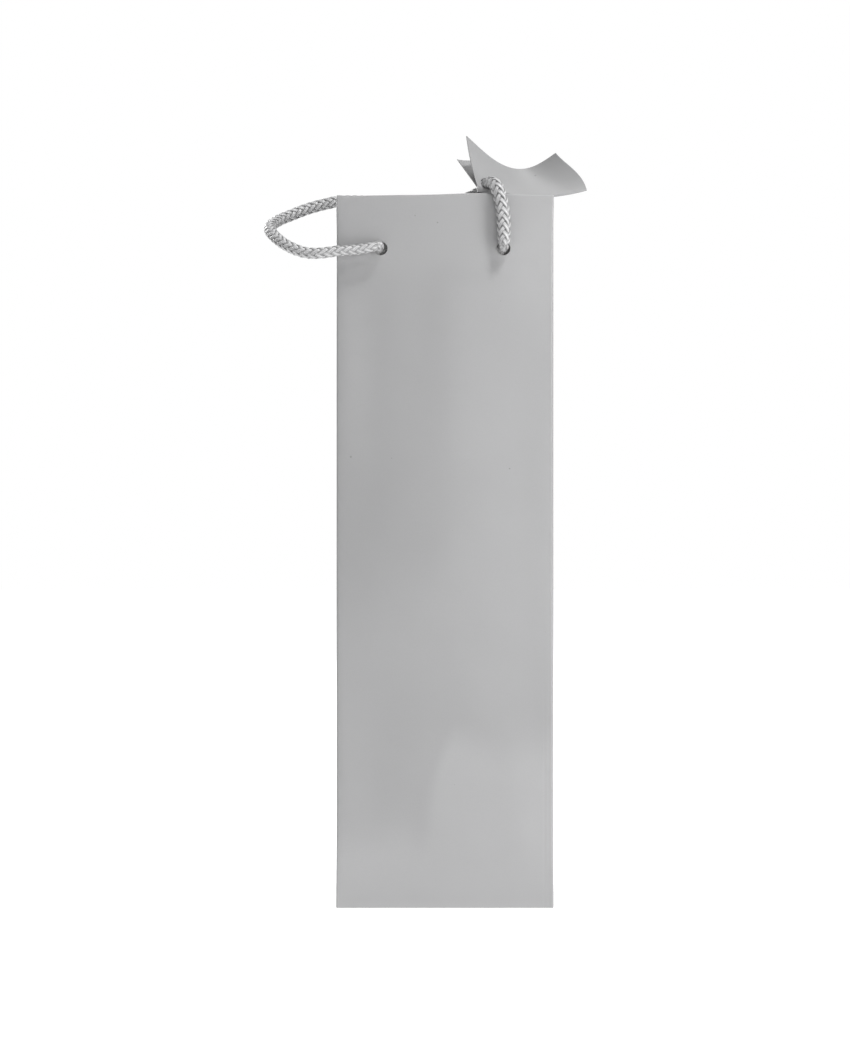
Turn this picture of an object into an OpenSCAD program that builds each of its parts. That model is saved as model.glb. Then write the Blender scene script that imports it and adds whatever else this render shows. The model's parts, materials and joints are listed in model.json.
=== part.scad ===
// Wine bottle gift bag: folded paper bag with two rope handles and a folded tag.
// Origin at the middle of the bag's foot, +Z up, the front panel faces -Y.

/* [Bag] */
// Width of the front and back panels
bag_w = 110; // [100:1:130]
// Depth of the gussets, front to back
bag_d = 90; // [84:1:110]
// Height of the bag
bag_h = 360; // [340:1:400]
// Thickness of the paper
paper_t = 0.3; // [0.2:0.05:0.4]

/* [Mouth] */
// Height of the paper turned in at the mouth
hem_h = 40; // [36:1:60]
// Thickness of the reinforcement boards under the hem
board_t = 1; // [0.8:0.1:1.2]
// Width of the reinforcement boards
board_w = 100; // [84:1:104]
// Height of the reinforcement boards
board_h = 36; // [30:1:38]
// Width of the glued side seam
seam_w = 15; // [10:1:20]

/* [Bottom] */
// Depth of the front and back bottom flaps
base_flap_d = 60; // [50:1:70]
// Depth of the side tucks of the bottom
tuck_d = 40; // [30:1:42]
// Thickness of the loose base board
base_board_t = 1.2; // [0.8:0.1:2]
// Gap between the base board and the walls
base_board_gap = 1.6; // [1.5:0.1:3]

/* [Handles] */
// Thickness of the rope
rope_d = 6; // [5:0.1:6]
// Diameter of the rope holes
hole_d = 7; // [6.5:0.1:7.5]
// Distance between the rope holes
hole_spacing = 62; // [62]
// Distance of the holes below the mouth
hole_drop = 27; // [27]
// Sideways shift of the pair of holes
hole_shift = -1.5; // [-1.5]
// Diameter of the knots behind the hem
knot_d = 14; // [12:0.5:14]
// Length of rope left hanging below a knot
knot_tail = 13; // [6:1:15]

/* [Tag] */
// Height of one leaf of the folded tag
tag_h = 30; // [26:1:32]
// Thickness of the tag's card
tag_t = 0.4; // [0.3:0.05:0.5]
// Diameter of the hole through the tag's leaves
tag_hole_d = 7.8; // [7.4:0.1:7.9]

/* [Hidden] */

$fn = 48;
paper = [0.74, 0.74, 0.75];
inner_paper = [0.62, 0.62, 0.63];
grey_board = [0.55, 0.54, 0.52];
rope_white = [0.9, 0.9, 0.9];

// A cut runs this far past the faces that it opens
cut = 1;
half_w = bag_w / 2;
half_d = bag_d / 2;
hole_z = bag_h - hole_drop;
hole_xs = [hole_shift - hole_spacing / 2, hole_shift + hole_spacing / 2];

// Depths of the layers at the mouth, from the outer face inwards
panel_in = half_d - paper_t;
board_in = panel_in - board_t;
hem_in = board_in - paper_t;
gusset_in = half_w - paper_t;
side_hem_in = gusset_in - paper_t;
// The reinforcement boards end this far below the fold of the hem
board_top = bag_h - paper_t;

// Layers of the folded bottom
flap_trim = 18;
tuck_tip = 6;
base_top = 3 * paper_t;
base_board_w = 2 * (side_hem_in - base_board_gap);
base_board_d = 2 * (hem_in - base_board_gap);
base_corner_r = 3;

// The rope bends over its own thickness where it leaves a hole
stub_out = half_d + 1.5;
swing_y = half_d + 5.5;
rope_start = 3.3;

// Centre line of the front handle: out of the left hole, round the left side, over the
// left gusset, across the mouth, through the tag, over the front edge, to the right hole
front_route = [
    [hole_xs[0] - rope_start, -swing_y, hole_z - 0.1],
    [-45, -50.5, 331.6], [-54, -50.4, 331], [-62.5, -49.8, 330], [-70.5, -47.2, 330.6],
    [-78.5, -42.5, 334], [-84.5, -35.5, 338.5], [-89, -26.5, 343.6], [-90, -17, 348],
    [-87, -8.5, 352], [-80.5, -2.5, 355.8], [-72.5, 0.5, 359.4], [-64, 1.5, 362],
    [-55.5, 0.5, 363.5], [-45.5, -1.5, 363.4], [-34, -4, 362.4], [-21, -7.5, 361],
    [-8, -12, 359.6], [4.5, -18.2, 360.2], [13.5, -24.5, 362.2], [19.2, -30.3, 364.8],
    [21.5, -36.2, 367], [23.8, -42, 366.6], [26, -47.2, 363.9], [27.8, -50, 357.5],
    [29.1, -50.4, 350], [29.5, -50.5, 342.5], [hole_xs[1], -swing_y, hole_z + rope_start]
];
// Left half of the back handle's centre line, hanging down behind the back panel
back_half_route = [
    [-31, -3.3], [-31.8, -14], [-33, -26], [-34.2, -38], [-35, -50], [-35.2, -62],
    [-34.5, -74], [-32.2, -85], [-28, -95], [-21.5, -103.5], [-12, -109]
];
back_low_point = [0, -111];
back_route = concat(
    [for (p = back_half_route) [hole_shift + p[0], swing_y, hole_z + p[1]]],
    [[hole_shift + back_low_point[0], swing_y, hole_z + back_low_point[1]]],
    [for (i = [len(back_half_route) - 1 : -1 : 0])
        [hole_shift - back_half_route[i][0], swing_y, hole_z + back_half_route[i][1]]]
);
// Directions that the ropes never run along, to set their rings by
front_ring_ref = [0, -0.5, 0.87];
back_ring_ref = [0, 1, 0];
rope_sides = 10;

// Tag: the fold sags between its ends and both leaves lean back over the mouth
fold_start = [16.7, -39, 364.6];
fold_run = [55.8, 5];
fold_sag = 4;
leaf_gap = 1.4;
// How each leaf leans at the fold's left end, middle and right end
front_lean = [[-5.6, 9.5, 27.9], [-6.4, 23, 18.1], [-15.1, 15.1, 21.1]];
back_lean = [[-10.3, 22.2, 17.4], [-7, 27.5, 9.7], [-13, 23, 14.2]];
leaf_cells_u = 14;
leaf_cells_v = 2;
tag_hole_at = [21.5, -36.2, 367];
tag_hole_dir = [0.33, -0.91, 0.25];
tag_hole_reach = 12;

function unit(v) = v / norm(v);

// Ring of points square to the rope's direction at one route point
function ring(route, i, ref, r) =
    let (
        last = len(route) - 1,
        along = unit(route[min(i + 1, last)] - route[max(i - 1, 0)]),
        side = unit(ref - (ref * along) * along),
        other = cross(along, side)
    )
    [for (k = [0 : rope_sides - 1])
        let (a = 360 * k / rope_sides) route[i] + r * (cos(a) * side + sin(a) * other)];

// Weights of a parabola through three values at 0, 1/2 and 1
function parabola(vals, u) =
    vals[0] * (1 - u) * (1 - 2 * u) + vals[1] * 4 * u * (1 - u) + vals[2] * u * (2 * u - 1);

function fold_point(u) =
    fold_start + [fold_run[0] * u, fold_run[1] * u, -4 * fold_sag * u * (1 - u)];

function fold_along(u) = unit([fold_run[0], fold_run[1], -4 * fold_sag * (1 - 2 * u)]);

function leaf_point(lean, u, v, side) =
    let (
        out = unit(parabola(lean, u)),
        face = unit(cross(fold_along(u), out))
    )
    fold_point(u) + v * tag_h * out + side * tag_t / 2 * face;

// Rope swept along its route: one closed tube with flat ends
module rope(route, ref) {
    rings = len(route);
    n = rope_sides;
    color(rope_white)
    polyhedron(
        points = [for (i = [0 : rings - 1]) each ring(route, i, ref, rope_d / 2)],
        faces = concat(
            [[for (k = [0 : n - 1]) k]],
            [for (i = [0 : rings - 2], k = [0 : n - 1])
                [i * n + k, (i + 1) * n + k, (i + 1) * n + (k + 1) % n, i * n + (k + 1) % n]],
            [[for (k = [n - 1 : -1 : 0]) (rings - 1) * n + k]]
        )
    );
}

// Thin curved card leaf: two skins of points joined round the rim
module leaf(lean) {
    nu = leaf_cells_u;
    nv = leaf_cells_v;
    row = nv + 1;
    skin = (nu + 1) * row;
    rim = concat(
        [for (i = [0 : nu - 1]) i * row],
        [for (j = [0 : nv - 1]) nu * row + j],
        [for (i = [nu : -1 : 1]) i * row + nv],
        [for (j = [nv : -1 : 1]) j]
    );
    polyhedron(
        points = [for (side = [1, -1], i = [0 : nu], j = [0 : nv])
            leaf_point(lean, i / nu, j / nv, side)],
        faces = concat(
            [for (i = [0 : nu - 1], j = [0 : nv - 1])
                each [[i * row + j, i * row + j + 1, (i + 1) * row + j + 1],
                      [i * row + j, (i + 1) * row + j + 1, (i + 1) * row + j]]],
            [for (i = [0 : nu - 1], j = [0 : nv - 1])
                each [[skin + i * row + j, skin + (i + 1) * row + j + 1, skin + i * row + j + 1],
                      [skin + i * row + j, skin + (i + 1) * row + j,
                       skin + (i + 1) * row + j + 1]]],
            [for (k = [0 : len(rim) - 1])
                let (a = rim[k], b = rim[(k + 1) % len(rim)])
                each [[a, b, skin + b], [a, skin + b, skin + a]]]
        )
    );
}

// Round tool along the rope where it passes through the tag
module tag_hole(d) {
    yaw = atan2(tag_hole_dir[1], tag_hole_dir[0]);
    pitch = acos(tag_hole_dir[2] / norm(tag_hole_dir));
    translate(tag_hole_at)
    rotate([0, pitch, yaw])
    cylinder(d = d, h = 2 * tag_hole_reach, center = true);
}

// Pair of rope holes through the layers between two depths of the front wall
module rope_holes(y_from, y_to) {
    for (x = hole_xs)
        translate([x, y_to + cut, hole_z])
        rotate([90, 0, 0])
        cylinder(d = hole_d, h = y_to - y_from + 2 * cut);
}

// Wall layer square to Y, between two depths from the bag's middle, at the front
module front_layer(w, z_from, z_to, outer, inner) {
    translate([-w / 2, -outer, z_from])
    cube([w, outer - inner, z_to - z_from]);
}

module drilled_layer(w, z_from, z_to, outer, inner) {
    difference() {
        front_layer(w, z_from, z_to, outer, inner);
        rope_holes(-outer, -inner);
    }
}

// Mouth hem: lies over the board and turns over its top edge
module hem() {
    difference() {
        union() {
            front_layer(2 * gusset_in, bag_h - hem_h, bag_h, board_in, hem_in);
            front_layer(2 * gusset_in, board_top, bag_h, panel_in, board_in);
        }
        rope_holes(-panel_in, -hem_in);
    }
}

// The back wall is the front wall seen in a mirror, with its holes in the same places
module at_back() {
    mirror([0, 1, 0])
    children();
}

module side_panel() {
    translate([-half_w, -panel_in, 0])
    cube([paper_t, 2 * panel_in, bag_h]);
}

module side_hem() {
    translate([-gusset_in, -hem_in, bag_h - hem_h])
    cube([paper_t, 2 * hem_in, hem_h]);
}

// Bottom flap with its free corners cut back
module base_flap(z) {
    translate([0, 0, z])
    linear_extrude(paper_t)
    polygon([
        [-gusset_in, -panel_in], [gusset_in, -panel_in],
        [gusset_in, -panel_in + base_flap_d - flap_trim],
        [gusset_in - flap_trim, -panel_in + base_flap_d],
        [-gusset_in + flap_trim, -panel_in + base_flap_d],
        [-gusset_in, -panel_in + base_flap_d - flap_trim]
    ]);
}

module base_tuck() {
    translate([0, 0, 2 * paper_t])
    linear_extrude(paper_t)
    polygon([
        [-gusset_in, -panel_in], [-gusset_in + tuck_d, -tuck_tip],
        [-gusset_in + tuck_d, tuck_tip], [-gusset_in, panel_in]
    ]);
}

// Stub through the hole, knot behind the hem and a short tail hanging down
module knot(x) {
    knot_y = -hem_in + knot_d / 2;
    color(rope_white)
    union() {
        translate([x, knot_y, hole_z])
        rotate([90, 0, 0])
        cylinder(d = rope_d, h = stub_out + knot_y);
        translate([x, knot_y, hole_z])
        sphere(d = knot_d);
        translate([x, knot_y, hole_z - knot_d / 2 - knot_tail])
        cylinder(d = rope_d, h = knot_tail + knot_d / 2);
    }
}

module front_panel() {
    color(paper) drilled_layer(bag_w, 0, bag_h, half_d, panel_in);
}

module back_panel() {
    color(paper) at_back() drilled_layer(bag_w, 0, bag_h, half_d, panel_in);
}

module left_gusset() {
    color(paper) side_panel();
}

module right_gusset() {
    color(paper) mirror([1, 0, 0]) side_panel();
}

module side_seam_flap() {
    color(paper)
    translate([gusset_in - seam_w, panel_in - paper_t, base_top])
    cube([seam_w, paper_t, bag_h - hem_h - base_top]);
}

module front_hem() {
    color(inner_paper) hem();
}

module back_hem() {
    color(inner_paper) at_back() hem();
}

module left_hem() {
    color(inner_paper) side_hem();
}

module right_hem() {
    color(inner_paper) mirror([1, 0, 0]) side_hem();
}

module front_reinforcement() {
    color(grey_board) drilled_layer(board_w, board_top - board_h, board_top, panel_in, board_in);
}

module back_reinforcement() {
    color(grey_board)
    at_back() drilled_layer(board_w, board_top - board_h, board_top, panel_in, board_in);
}

module base_front_flap() {
    color(paper) base_flap(0);
}

module base_back_flap() {
    color(paper) at_back() base_flap(paper_t);
}

module base_left_tuck() {
    color(paper) base_tuck();
}

module base_right_tuck() {
    color(paper) mirror([1, 0, 0]) base_tuck();
}

module base_board() {
    color(grey_board)
    translate([0, 0, base_top])
    linear_extrude(base_board_t)
    union() {
        square([base_board_w, base_board_d - 2 * base_corner_r], center = true);
        square([base_board_w - 2 * base_corner_r, base_board_d], center = true);
        for (x = [-1, 1], y = [-1, 1])
            translate([x * (base_board_w / 2 - base_corner_r),
                       y * (base_board_d / 2 - base_corner_r)])
            circle(r = base_corner_r);
    }
}

module front_handle_rope() {
    rope(front_route, front_ring_ref);
}

module back_handle_rope() {
    rope(back_route, back_ring_ref);
}

module front_left_knot() {
    knot(hole_xs[0]);
}

module front_right_knot() {
    knot(hole_xs[1]);
}

module back_left_knot() {
    at_back() knot(hole_xs[0]);
}

module back_right_knot() {
    at_back() knot(hole_xs[1]);
}

module tag_front_leaf() {
    color(paper)
    difference() {
        leaf(front_lean);
        tag_hole(tag_hole_d);
    }
}

module tag_back_leaf() {
    color(paper)
    difference() {
        translate([0, leaf_gap, 0]) leaf(back_lean);
        tag_hole(tag_hole_d);
    }
}

front_panel();
back_panel();
left_gusset();
right_gusset();
side_seam_flap();
front_hem();
back_hem();
left_hem();
right_hem();
front_reinforcement();
back_reinforcement();
base_front_flap();
base_back_flap();
base_left_tuck();
base_right_tuck();
base_board();
front_handle_rope();
back_handle_rope();
front_left_knot();
front_right_knot();
back_left_knot();
back_right_knot();
tag_front_leaf();
tag_back_leaf();
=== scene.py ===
"""Looks of the wine gift bag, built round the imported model. Metres, +Z up, the front faces -Y."""
import json
import math

import bmesh
import bpy
from mathutils import Matrix, Vector, noise


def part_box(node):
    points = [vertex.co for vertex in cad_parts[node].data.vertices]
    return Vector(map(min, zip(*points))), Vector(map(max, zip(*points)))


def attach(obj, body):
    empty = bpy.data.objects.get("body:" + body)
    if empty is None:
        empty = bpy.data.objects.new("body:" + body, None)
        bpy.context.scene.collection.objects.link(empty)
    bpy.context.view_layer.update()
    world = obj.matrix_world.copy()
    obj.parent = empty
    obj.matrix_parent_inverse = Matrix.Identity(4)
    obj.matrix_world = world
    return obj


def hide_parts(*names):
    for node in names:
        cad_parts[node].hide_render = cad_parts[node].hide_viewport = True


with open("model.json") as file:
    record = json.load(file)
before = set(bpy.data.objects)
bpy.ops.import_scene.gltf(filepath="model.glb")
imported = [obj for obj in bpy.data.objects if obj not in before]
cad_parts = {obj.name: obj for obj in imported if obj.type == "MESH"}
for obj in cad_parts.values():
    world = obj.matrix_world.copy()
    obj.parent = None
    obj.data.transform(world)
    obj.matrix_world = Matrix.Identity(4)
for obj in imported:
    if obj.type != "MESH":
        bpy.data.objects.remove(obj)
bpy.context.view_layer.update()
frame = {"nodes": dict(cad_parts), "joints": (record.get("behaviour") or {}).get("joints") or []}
MM = 0.001

# The bag's driving sizes come from the frame
PANEL_LOW, PANEL_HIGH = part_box("front_panel")
HALF_W = PANEL_HIGH.x
HALF_D = -PANEL_LOW.y
MOUTH_Z = PANEL_HIGH.z
HEM_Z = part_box("front_hem")[0].z
PAPER = PANEL_HIGH.y - PANEL_LOW.y
FRONT_HEM_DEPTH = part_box("front_hem")[1].y + HALF_D
SIDE_HEM_DEPTH = HALF_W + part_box("left_hem")[1].x
CORNER_R = 0.9 * MM

# Rope handles
ROPE_D = 6 * MM
HOLE_R = 3.5 * MM
SWING = {j["name"]: j for j in frame["joints"]}["front_handle_swing"]["pos_m"]
HOLE_Z = SWING[2]
SWING_Y = -SWING[1]
KNOT_BOX = {n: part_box(n) for n in
            ("front_left_knot", "front_right_knot", "back_left_knot", "back_right_knot")}
HOLE_XS = [(KNOT_BOX[n][0].x + KNOT_BOX[n][1].x) / 2
           for n in ("front_left_knot", "front_right_knot")]

# Where each end of the front rope sits in its hole: it is pulled up and sideways
FRONT_LEFT_ELBOW = (HOLE_XS[0] - 1.5 * MM, -SWING_Y, HOLE_Z + 1.1 * MM)
FRONT_RIGHT_ELBOW = (HOLE_XS[1] + 0.1 * MM, -SWING_Y, HOLE_Z + 0.5 * MM)
# How far off its hole's middle each end of the front rope runs, across and up
HOLE_PULL = {"front_left_knot": (-0.85 * MM, 0.7 * MM), "front_right_knot": (0.1 * MM, 0.85 * MM),
             "back_left_knot": (0, -0.8 * MM), "back_right_knot": (0, -0.8 * MM)}

# Centre line of the front handle, from the left hole round to the right one
FRONT_ROUTE = [
    FRONT_LEFT_ELBOW, (-0.0358, -0.0505, 0.3332),
    (-0.045, -0.0505, 0.3316), (-0.054, -0.0504, 0.331), (-0.0625, -0.0498, 0.33),
    (-0.0705, -0.0472, 0.3306), (-0.0785, -0.0425, 0.334), (-0.0845, -0.0355, 0.3385),
    (-0.089, -0.0265, 0.3436), (-0.09, -0.017, 0.348), (-0.087, -0.0085, 0.352),
    (-0.0805, -0.0025, 0.3558), (-0.0725, 0.0005, 0.3594), (-0.064, 0.0015, 0.362),
    (-0.0555, 0.0005, 0.3635), (-0.0455, -0.0015, 0.3634), (-0.034, -0.004, 0.3624),
    (-0.021, -0.0075, 0.361), (-0.008, -0.012, 0.3596), (0.0045, -0.0182, 0.3602),
    (0.0135, -0.0245, 0.3622), (0.0192, -0.0303, 0.3648), (0.0215, -0.0362, 0.367),
    (0.0238, -0.042, 0.3666), (0.026, -0.0472, 0.3639), (0.0278, -0.05, 0.3575),
    (0.0291, -0.0504, 0.35), (0.0295, -0.0505, 0.3425), (0.0295, -0.0505, 0.3363),
    FRONT_RIGHT_ELBOW,
]
# Left half of the back handle, as x and z from the middle of its two holes
BACK_HALF = [
    (-0.031, 0), (-0.031, -0.0033), (-0.0318, -0.014), (-0.033, -0.026), (-0.0342, -0.038),
    (-0.035, -0.05), (-0.0352, -0.062), (-0.0345, -0.074), (-0.0322, -0.085),
    (-0.028, -0.095), (-0.0215, -0.1035), (-0.012, -0.109),
]
BACK_LOW = (0, -0.111)
# Thickness along the front handle: pulled thin at its holes, loose in the right leg
FRONT_GIRTHS = ((0, 0.77), (0.05, 0.82), (0.12, 0.9), (0.22, 1), (0.78, 1), (0.83, 0.95),
                (0.89, 1.15), (0.96, 1.16), (1, 0.95))
BACK_GIRTHS = ((0, 0.9), (0.05, 1), (0.95, 1), (1, 0.9))
KNOT_GIRTHS = ((0, 0.78), (0.12, 0.78), (0.2, 1), (1, 1))


# Camera -------------------------------------------------------------------------------------

CAMERA_X = -10.1 * MM
CAMERA_AWAY = 1.1
CAMERA_Z = 190.1 * MM
LENS = 73.8


def make_camera():
    """Level camera straight ahead, a little left of the bag's middle."""
    data = bpy.data.cameras.new("camera")
    data.lens = LENS
    data.sensor_width = 36
    cam = bpy.data.objects.new("camera", data)
    cam.location = (CAMERA_X, -HALF_D - CAMERA_AWAY, CAMERA_Z)
    cam.rotation_euler = (math.radians(90), 0, 0)
    bpy.context.scene.collection.objects.link(cam)
    bpy.context.scene.camera = cam


# Node helpers -------------------------------------------------------------------------------

class Nodes:
    """Short forms for placing and joining the nodes of one tree."""

    def __init__(self, tree):
        self.tree = tree

    def add(self, kind, inputs=None, **settings):
        node = self.tree.nodes.new(kind)
        for key, value in settings.items():
            setattr(node, key, value)
        for key, value in (inputs or {}).items():
            self.feed(node.inputs[key], value)
        return node

    def feed(self, socket, value):
        if isinstance(value, bpy.types.NodeSocket):
            self.tree.links.new(value, socket)
        else:
            socket.default_value = value

    def math(self, operation, a, b=0.0, clamp=False):
        node = self.add("ShaderNodeMath", {0: a, 1: b}, operation=operation, use_clamp=clamp)
        return node.outputs[0]

    def vector(self, operation, a, b=(0, 0, 0), scale=None):
        inputs = {0: a, 1: b} if scale is None else {0: a, "Scale": scale}
        node = self.add("ShaderNodeVectorMath", inputs, operation=operation)
        return node.outputs[0]

    def noise(self, coords, scale, detail=2.0, roughness=0.5):
        node = self.add("ShaderNodeTexNoise",
                        {"Vector": coords, "Scale": scale, "Detail": detail, "Roughness": roughness})
        return node.outputs["Fac"]

    def remap(self, value, low, high, to_low, to_high):
        node = self.add("ShaderNodeMapRange", {"Value": value, "From Min": low, "From Max": high,
                                               "To Min": to_low, "To Max": to_high})
        return node.outputs[0]


def group_input(tree, name, kind, value=None):
    socket = tree.interface.new_socket(name=name, in_out="INPUT", socket_type=kind)
    if value is not None:
        socket.default_value = value


# Braided rope -------------------------------------------------------------------------------

STRANDS = 12
LAY = 24 * MM
STRAND_RING = 2.15 * MM
STRAND_WIDTH = 2.35 * MM
STRAND_THICK = 1.1 * MM
WEAVE = 0.42 * MM
# The weave's wave is cut off at its top and bottom, so a strand lies flat over two others
WEAVE_SWELL = 1.25
ROPE_STEP = 0.55 * MM
CORE_STEP = 2 * MM
CORE_GAP = 0.35 * MM


def strand_place(n, given, index, along):
    """Each strand's angle round the rope and its distance from the middle line."""
    whole = n.add("GeometryNodeSplineLength").outputs["Length"]
    girth = n.add("GeometryNodeInputRadius").outputs[0]
    pair = n.math("FLOOR", n.math("DIVIDE", index, 2.0))
    way = n.math("SUBTRACT", 1.0, n.math("MULTIPLY", n.math("MODULO", index, 2.0), 2.0))
    turns = n.math("MULTIPLY", way, n.math("DIVIDE", along, given["Lay Length"]))
    angle = n.math("ADD", n.math("MULTIPLY", pair, math.tau * 2 / STRANDS),
                   n.math("MULTIPLY", turns, math.tau))
    crossing = n.math("MULTIPLY", turns, float(STRANDS))
    phase = n.math("ADD", n.math("MULTIPLY", pair, 2.0), crossing)
    wave = n.math("COSINE", n.math("MULTIPLY", n.math("SUBTRACT", phase, 0.5), math.pi / 2))
    lift = n.math("MULTIPLY", n.math("MULTIPLY", wave, WEAVE_SWELL), way)
    lift = n.math("MULTIPLY", n.math("MINIMUM", n.math("MAXIMUM", lift, -1.0), 1.0),
                  given["Weave Height"])
    to_end = n.math("MINIMUM", along, n.math("SUBTRACT", whole, along))
    near = n.math("SUBTRACT", 1.0, n.math("DIVIDE", to_end, ROPE_D / 2), clamp=True)
    dome = n.math("SQRT", n.math("SUBTRACT", 1.02, n.math("MULTIPLY", near, near)))
    reach = n.math("MULTIPLY", n.math("ADD", given["Ring Radius"], lift), dome)
    return angle, n.math("MULTIPLY", reach, girth)


def outward(n, angle):
    """Direction from the rope's middle line at an angle round it."""
    normal = n.add("GeometryNodeInputNormal").outputs[0]
    tangent = n.add("GeometryNodeInputTangent").outputs[0]
    across = n.vector("CROSS_PRODUCT", tangent, normal)
    return n.vector("ADD", n.vector("SCALE", normal, scale=n.math("COSINE", angle)),
                    n.vector("SCALE", across, scale=n.math("SINE", angle)))


def strand_profile(n, given):
    """Flat oval section of a strand, with the place round it as an attribute."""
    ring = n.add("GeometryNodeCurvePrimitiveCircle", {"Resolution": 8, "Radius": 0.5})
    flat = n.add("ShaderNodeCombineXYZ", {"X": given["Strand Thickness"],
                                          "Y": given["Strand Width"], "Z": 1.0})
    ring = n.add("GeometryNodeTransform", {"Geometry": ring.outputs[0], "Scale": flat.outputs[0]})
    held = n.add("GeometryNodeCaptureAttribute", {"Geometry": ring.outputs[0]}, domain="POINT")
    held.capture_items.new("FLOAT", "round")
    n.feed(held.inputs["round"], n.add("GeometryNodeSplineParameter").outputs["Factor"])
    return held.outputs[0], held.outputs["round"]


def stored(n, shape, name, value, kind="FLOAT", domain="POINT"):
    """The shape with a named attribute."""
    node = n.add("GeometryNodeStoreNamedAttribute",
                 {"Geometry": shape, "Name": name, "Value": value}, data_type=kind, domain=domain)
    return node.outputs[0]


def braid_strands(n, given):
    """Strands swept along their places in the braid, with UVs round and along their yarn."""
    line = n.add("GeometryNodeResampleCurve",
                 {"Curve": given["Geometry"], "Length": given["Point Spacing"]}, mode="LENGTH")
    copies = n.add("GeometryNodeDuplicateElements",
                   {"Geometry": line.outputs[0], "Amount": STRANDS}, domain="SPLINE")
    index = copies.outputs["Duplicate Index"]
    along = n.add("GeometryNodeSplineParameter").outputs["Length"]
    angle, reach = strand_place(n, given, index, along)
    radial = outward(n, angle)
    held = n.add("GeometryNodeCaptureAttribute", {"Geometry": copies.outputs[0]}, domain="POINT")
    for kind, name, value in (("VECTOR", "radial", radial), ("FLOAT", "along", along),
                              ("FLOAT", "strand", index)):
        held.capture_items.new(kind, name)
        n.feed(held.inputs[name], value)
    moved = n.add("GeometryNodeSetPosition",
                  {"Geometry": held.outputs[0], "Offset": n.vector("SCALE", radial, scale=reach)})
    turned = n.add("GeometryNodeSetCurveNormal", {"Curve": moved.outputs[0],
                                                  "Normal": held.outputs["radial"]}, mode="FREE")
    profile, place_round = strand_profile(n, given)
    strands = n.add("GeometryNodeCurveToMesh", {"Curve": turned.outputs[0],
                                                "Profile Curve": profile, "Fill Caps": True})
    uv = n.add("ShaderNodeCombineXYZ", {"X": place_round, "Y": held.outputs["along"]})
    mapped = stored(n, strands.outputs[0], "UVMap", uv.outputs[0], "FLOAT2", "CORNER")
    return stored(n, mapped, "strand", held.outputs["strand"])


def braid_core(n, given):
    """Round core under the strands, which closes the gaps between them; its core attribute marks it
    for painted shade in the yarn.
    """
    line = n.add("GeometryNodeTrimCurve", {"Curve": given["Geometry"], "Start": 0.01, "End": 0.99})
    line = n.add("GeometryNodeResampleCurve", {"Curve": line.outputs[0], "Length": CORE_STEP},
                 mode="LENGTH")
    radius = n.math("SUBTRACT", given["Ring Radius"], CORE_GAP)
    ring = n.add("GeometryNodeCurvePrimitiveCircle", {"Resolution": 10, "Radius": radius})
    core = n.add("GeometryNodeCurveToMesh", {"Curve": line.outputs[0],
                                             "Profile Curve": ring.outputs[0], "Fill Caps": True})
    return stored(n, core.outputs[0], "core", 1.0)


def braid_tree():
    """Twelve flat strands, six each way round, each over two and under two of the others."""
    tree = bpy.data.node_groups.new("braided_rope", "GeometryNodeTree")
    group_input(tree, "Geometry", "NodeSocketGeometry")
    for name, value in (("Ring Radius", STRAND_RING), ("Lay Length", LAY),
                        ("Strand Width", STRAND_WIDTH), ("Strand Thickness", STRAND_THICK),
                        ("Weave Height", WEAVE), ("Point Spacing", ROPE_STEP)):
        group_input(tree, name, "NodeSocketFloat", value)
    group_input(tree, "Material", "NodeSocketMaterial")
    tree.interface.new_socket(name="Geometry", in_out="OUTPUT", socket_type="NodeSocketGeometry")
    n = Nodes(tree)
    given = n.add("NodeGroupInput").outputs
    strands, core = braid_strands(n, given), braid_core(n, given)
    both = n.add("GeometryNodeJoinGeometry")
    n.feed(both.inputs[0], core)
    n.feed(both.inputs[0], strands)
    smooth = n.add("GeometryNodeSetShadeSmooth", {"Geometry": both.outputs[0]})
    real = n.add("GeometryNodeRealizeInstances", {"Geometry": smooth.outputs[0]})
    painted = n.add("GeometryNodeSetMaterial", {"Geometry": real.outputs[0],
                                                "Material": given["Material"]})
    n.add("NodeGroupOutput", {0: painted.outputs[0]})
    return tree


def smooth_path(points, step=1.5 * MM):
    """Points of one smooth curve through the route's points, about a step apart."""
    pts = [Vector(p) for p in points]
    ends = [2 * pts[0] - pts[1]] + pts + [2 * pts[-1] - pts[-2]]
    path = []
    for a, b, c, d in zip(ends, ends[1:], ends[2:], ends[3:]):
        count = max(1, round((c - b).length / step))
        for k in range(count):
            t = k / count
            path.append(0.5 * (2 * b + (c - a) * t + (2 * a - 5 * b + 4 * c - d) * t * t
                               + (3 * b - a - 3 * c + d) * t ** 3))
    path.append(pts[-1])
    return path


def set_inputs(modifier, values):
    """Sets a geometry nodes modifier's inputs by their sockets' identifiers."""
    for item in modifier.node_group.interface.items_tree:
        if item.in_out == "INPUT" and item.name in values:
            modifier[item.identifier] = values[item.name]


def girth_at(girths, part):
    """Thickness of the rope, as a share of its usual one, part of the way along."""
    for (a, start), (b, end) in zip(girths, girths[1:]):
        if part <= b:
            return start + (end - start) * (part - a) / (b - a)
    return girths[-1][1]


def braid(name, path, material, girths):
    """Plain mesh of a braided rope along a path."""
    curve = bpy.data.curves.new(name + "_line", "CURVE")
    curve.dimensions = "3D"
    spline = curve.splines.new("POLY")
    spline.points.add(len(path) - 1)
    for k, (point, place) in enumerate(zip(spline.points, path)):
        point.co = (*place, 1)
        point.radius = girth_at(girths, k / (len(path) - 1))
    line = bpy.data.objects.new(name + "_line", curve)
    bpy.context.scene.collection.objects.link(line)
    modifier = line.modifiers.new("braid", "NODES")
    modifier.node_group = BRAID
    set_inputs(modifier, {"Material": material})
    bpy.context.view_layer.update()
    shape = line.evaluated_get(bpy.context.evaluated_depsgraph_get())
    mesh = bpy.data.meshes.new_from_object(shape)
    bpy.data.objects.remove(line)
    mesh.name = name
    rope = bpy.data.objects.new(name, mesh)
    bpy.context.scene.collection.objects.link(rope)
    return rope


# Materials ----------------------------------------------------------------------------------

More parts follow.
